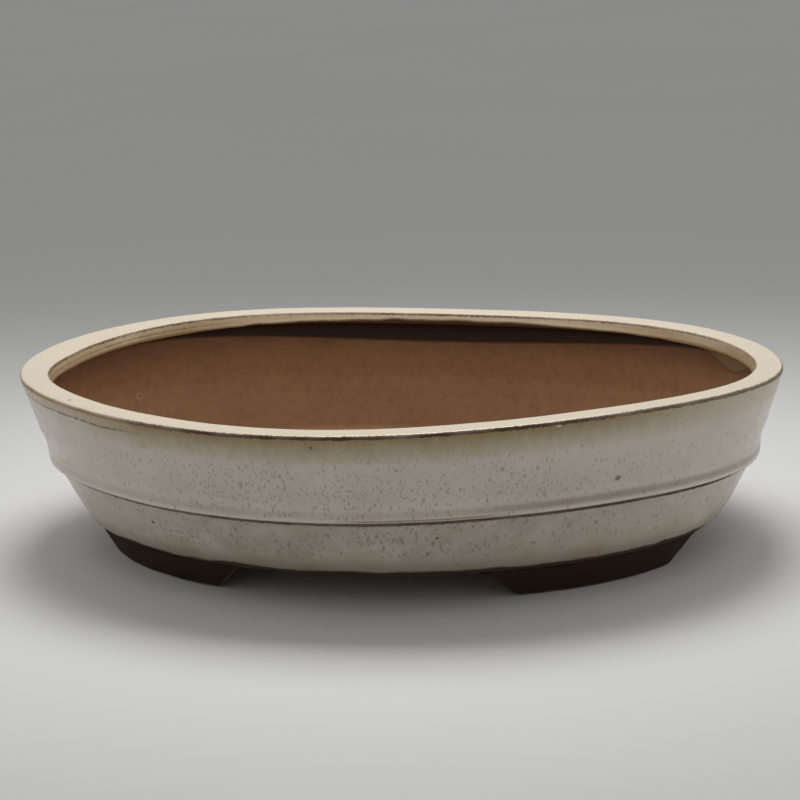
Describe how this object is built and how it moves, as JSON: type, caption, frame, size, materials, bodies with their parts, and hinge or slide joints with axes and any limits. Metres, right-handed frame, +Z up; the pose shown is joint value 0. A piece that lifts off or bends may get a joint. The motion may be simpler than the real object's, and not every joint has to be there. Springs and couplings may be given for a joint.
{
  "type": "bonsai pot",
  "caption": "Shallow oval bonsai pot in glazed stoneware: flared wall with a moulded belt, flat turned-in rim, pierced floor and low feet split by arches.",
  "frame": {"origin": "on the ground under the middle of the pot", "axes": "+X along the oval's length towards the right-hand end, +Y towards the back, +Z up"},
  "size_m": [0.305, 0.223, 0.0725],
  "materials": {
    "bare_clay": "matt fired clay, unglazed",
    "cream_glaze": "glossy cream-grey glaze with fine brown flecks",
    "rim_glaze": "glossy cream glaze, thin and brown at the edges",
    "foot_clay": "matt dark brown fired clay, unglazed"
  },
  "bodies": {
    "root": {"floor_slab": "bare_clay", "lower_wall": "cream_glaze", "belt_band": "cream_glaze", "upper_wall": "cream_glaze", "rim": "rim_glaze", "foot_front_left": "foot_clay", "foot_front_right": "foot_clay", "foot_back_left": "foot_clay", "foot_back_right": "foot_clay"}
  },
  "joints": []
}
